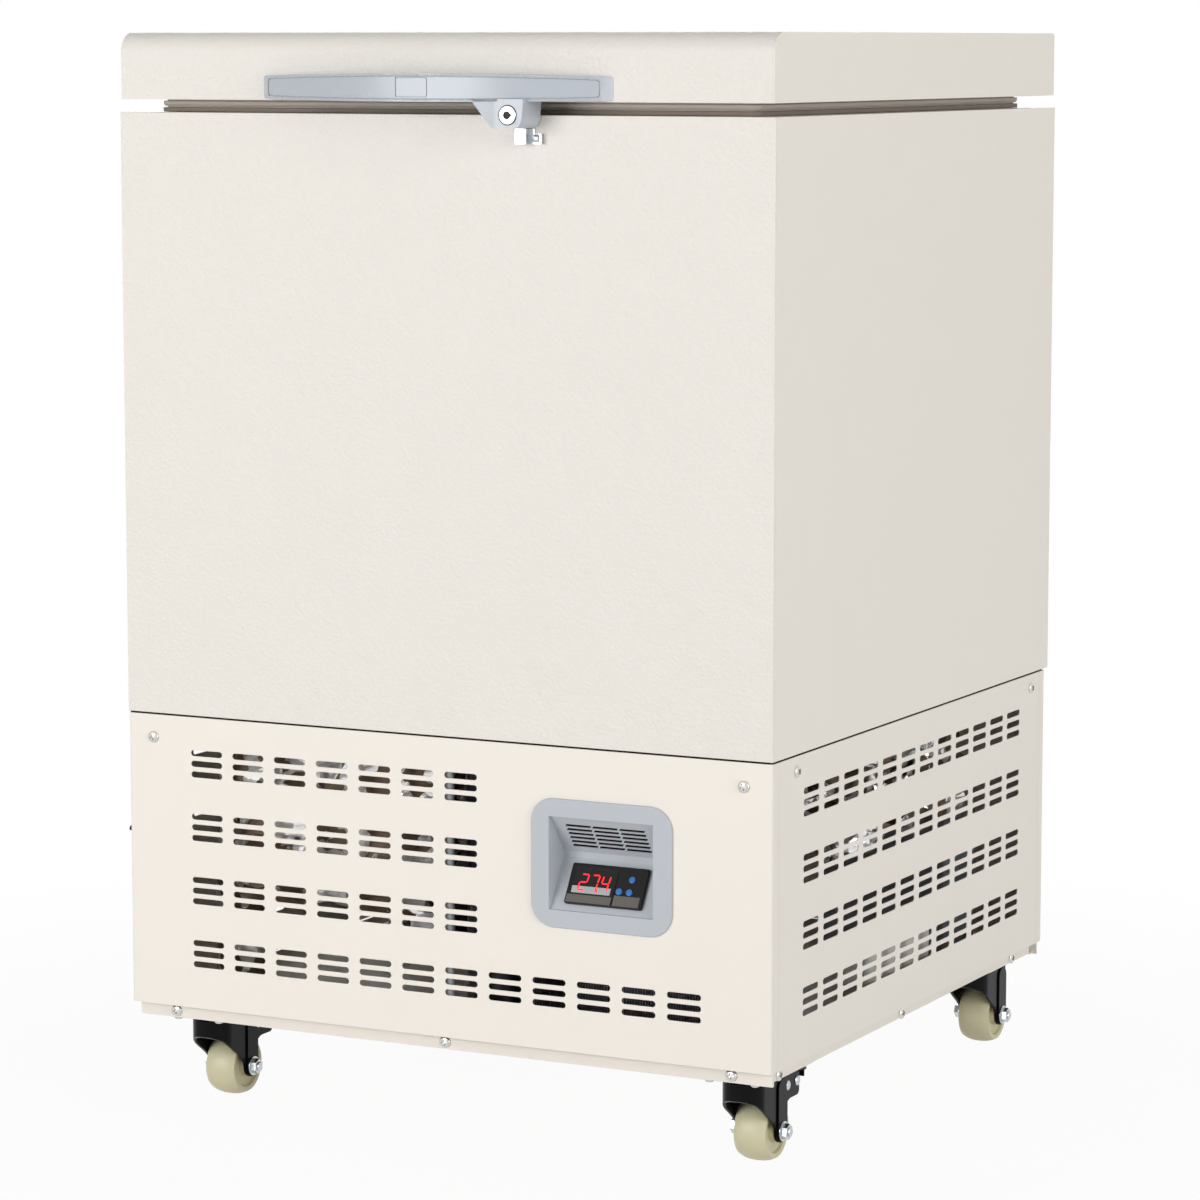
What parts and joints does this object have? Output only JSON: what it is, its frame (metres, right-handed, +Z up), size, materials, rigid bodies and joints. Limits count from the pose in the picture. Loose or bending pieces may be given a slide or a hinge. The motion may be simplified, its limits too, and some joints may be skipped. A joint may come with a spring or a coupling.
{
  "type": "chest ultra low temperature freezer",
  "caption": "Small chest ultra low temperature freezer: insulated steel tank under a hinged locking lid, louvred machine compartment, sloped controller panel, swivel casters.",
  "frame": {"origin": "middle of the whole outline's footprint, on the floor under the casters", "axes": "+X to the right seen from the front, +Y from the front with the handle towards the hinges, +Z up"},
  "size_m": [0.6068, 0.6404, 0.901],
  "materials": {
    "cabinet_enamel": "stucco embossed, semi-gloss",
    "smooth_enamel": "smooth powder coat, satin",
    "frame_enamel": "smooth powder coat, satin",
    "tank_steel": "fine brushed",
    "insulation": "closed-cell foam",
    "inner_plastic": "satin",
    "seal_rubber": "matt",
    "handle_plastic": "gloss moulded",
    "bezel_plastic": "satin moulded",
    "black_plastic": "satin black",
    "blue_key": "satin",
    "display_glass": "polished",
    "zinc_steel": "bright zinc plate",
    "nickel_steel": "polished nickel",
    "black_enamel": "gloss black",
    "nylon": "cream, satin",
    "compressor_enamel": "gloss black",
    "aluminium_fin": "mill finish",
    "copper": "bright drawn",
    "foil_lagging": "crumpled foil face",
    "grey_enamel": "satin"
  },
  "bodies": {
    "cabinet": {"cabinet_front": "cabinet_enamel", "cabinet_sides": "smooth_enamel", "cabinet_back": "smooth_enamel", "rim_collar": "inner_plastic", "foam_insulation": "insulation", "liner_tank": "tank_steel", "evaporator_coil": "copper", "temperature_probe": "nickel_steel", "lock_striker": "zinc_steel", "hinge_cabinet_leaves": "zinc_steel", "hinge_pins": "zinc_steel", "front_panel": "smooth_enamel", "rear_panel": "smooth_enamel", "side_panel_left": "smooth_enamel", "side_panel_right": "smooth_enamel", "base_frame": "frame_enamel", "panel_screws": "nickel_steel", "control_bezel": "bezel_plastic", "controller_case": "black_plastic", "display_window": "display_glass", "power_switch": "black_plastic", "power_inlet": "black_plastic", "compressor": "compressor_enamel", "compressor_feet": "seal_rubber", "condenser": "aluminium_fin", "fan_shroud": "grey_enamel", "fan_motor": "grey_enamel", "refrigerant_pipes": "copper", "control_box": "grey_enamel", "wrapped_line": "foil_lagging", "caster_plates": "black_enamel"},
    "lid": {"lid_top_sheet": "cabinet_enamel", "lid_ends": "smooth_enamel", "lid_liner": "inner_plastic", "lid_foam": "insulation", "lid_gasket": "seal_rubber", "handle_body": "handle_plastic", "handle_cover": "handle_plastic", "hinge_lid_leaves": "zinc_steel"},
    "lock": {"lock_barrel": "nickel_steel", "lock_cam": "zinc_steel"},
    "key_up": {"key_up": "blue_key"},
    "key_set": {"key_set": "blue_key"},
    "key_down": {"key_down": "blue_key"},
    "fan": {"fan_blade": "aluminium_fin"},
    "lever": {"switch_lever": "black_plastic"},
    "swivel_front_left": {"fork_front_left": "black_enamel", "axle_front_left": "zinc_steel"},
    "wheel_front_left": {"wheel_front_left": "nylon"},
    "pedal_front_left": {"pedal_front_left": "black_enamel"},
    "swivel_rear_left": {"fork_rear_left": "black_enamel", "axle_rear_left": "zinc_steel"},
    "wheel_rear_left": {"wheel_rear_left": "nylon"},
    "swivel_front_right": {"fork_front_right": "black_enamel", "axle_front_right": "zinc_steel"},
    "wheel_front_right": {"wheel_front_right": "nylon"},
    "pedal_front_right": {"pedal_front_right": "black_enamel"},
    "swivel_rear_right": {"fork_rear_right": "black_enamel", "axle_rear_right": "zinc_steel"},
    "wheel_rear_right": {"wheel_rear_right": "nylon"}
  },
  "joints": [
    {"name": "lid_hinge", "type": "hinge", "parent": "cabinet", "child": "lid", "pos_m": [0, 0.31475, 0.84], "axis": [-1, 0, 0], "range_deg": [0, 85]},
    {"name": "lock_turn", "type": "hinge", "parent": "lid", "child": "lock", "pos_m": [0.082, -0.30025, 0.837], "axis": [0, -1, 0], "range_deg": [0, 90]},
    {"name": "fan_spin", "type": "hinge", "parent": "cabinet", "child": "fan", "pos_m": [0.125, -0.12225, 0.191], "axis": [0, 1, 0], "continuous": true},
    {"name": "power_lever", "type": "hinge", "parent": "cabinet", "child": "lever", "pos_m": [-0.298, -0.26125, 0.234], "axis": [0, -1, 0], "range_deg": [0, 24]},
    {"name": "key_up_press", "type": "slide", "parent": "cabinet", "child": "key_up", "axis": [0, 0.8598, -0.5106], "range_m": [0, 0.0007], "stiffness_N_per_m": 400},
    {"name": "key_set_press", "type": "slide", "parent": "cabinet", "child": "key_set", "axis": [0, 0.8598, -0.5106], "range_m": [0, 0.0007], "stiffness_N_per_m": 400},
    {"name": "key_down_press", "type": "slide", "parent": "cabinet", "child": "key_down", "axis": [0, 0.8598, -0.5106], "range_m": [0, 0.0007], "stiffness_N_per_m": 400},
    {"name": "swivel_front_left_turn", "type": "hinge", "parent": "cabinet", "child": "swivel_front_left", "pos_m": [-0.2488, -0.22425, 0.0727], "axis": [0, 0, 1], "continuous": true},
    {"name": "wheel_front_left_roll", "type": "hinge", "parent": "swivel_front_left", "child": "wheel_front_left", "pos_m": [-0.2488, -0.19625, 0.0255], "axis": [1, 0, 0], "continuous": true},
    {"name": "brake_front_left", "type": "hinge", "parent": "swivel_front_left", "child": "pedal_front_left", "pos_m": [-0.2488, -0.18525, 0.0607], "axis": [-1, 0, 0], "range_deg": [0, 10]},
    {"name": "swivel_rear_left_turn", "type": "hinge", "parent": "cabinet", "child": "swivel_rear_left", "pos_m": [-0.2488, 0.24975, 0.0727], "axis": [0, 0, 1], "continuous": true},
    {"name": "wheel_rear_left_roll", "type": "hinge", "parent": "swivel_rear_left", "child": "wheel_rear_left", "pos_m": [-0.2488, 0.27775, 0.0255], "axis": [1, 0, 0], "continuous": true},
    {"name": "swivel_front_right_turn", "type": "hinge", "parent": "cabinet", "child": "swivel_front_right", "pos_m": [0.2488, -0.22425, 0.0727], "axis": [0, 0, 1], "continuous": true},
    {"name": "wheel_front_right_roll", "type": "hinge", "parent": "swivel_front_right", "child": "wheel_front_right", "pos_m": [0.2488, -0.19625, 0.0255], "axis": [1, 0, 0], "continuous": true},
    {"name": "brake_front_right", "type": "hinge", "parent": "swivel_front_right", "child": "pedal_front_right", "pos_m": [0.2488, -0.18525, 0.0607], "axis": [-1, 0, 0], "range_deg": [0, 10]},
    {"name": "swivel_rear_right_turn", "type": "hinge", "parent": "cabinet", "child": "swivel_rear_right", "pos_m": [0.2488, 0.24975, 0.0727], "axis": [0, 0, 1], "continuous": true},
    {"name": "wheel_rear_right_roll", "type": "hinge", "parent": "swivel_rear_right", "child": "wheel_rear_right", "pos_m": [0.2488, 0.27775, 0.0255], "axis": [1, 0, 0], "continuous": true}
  ]
}
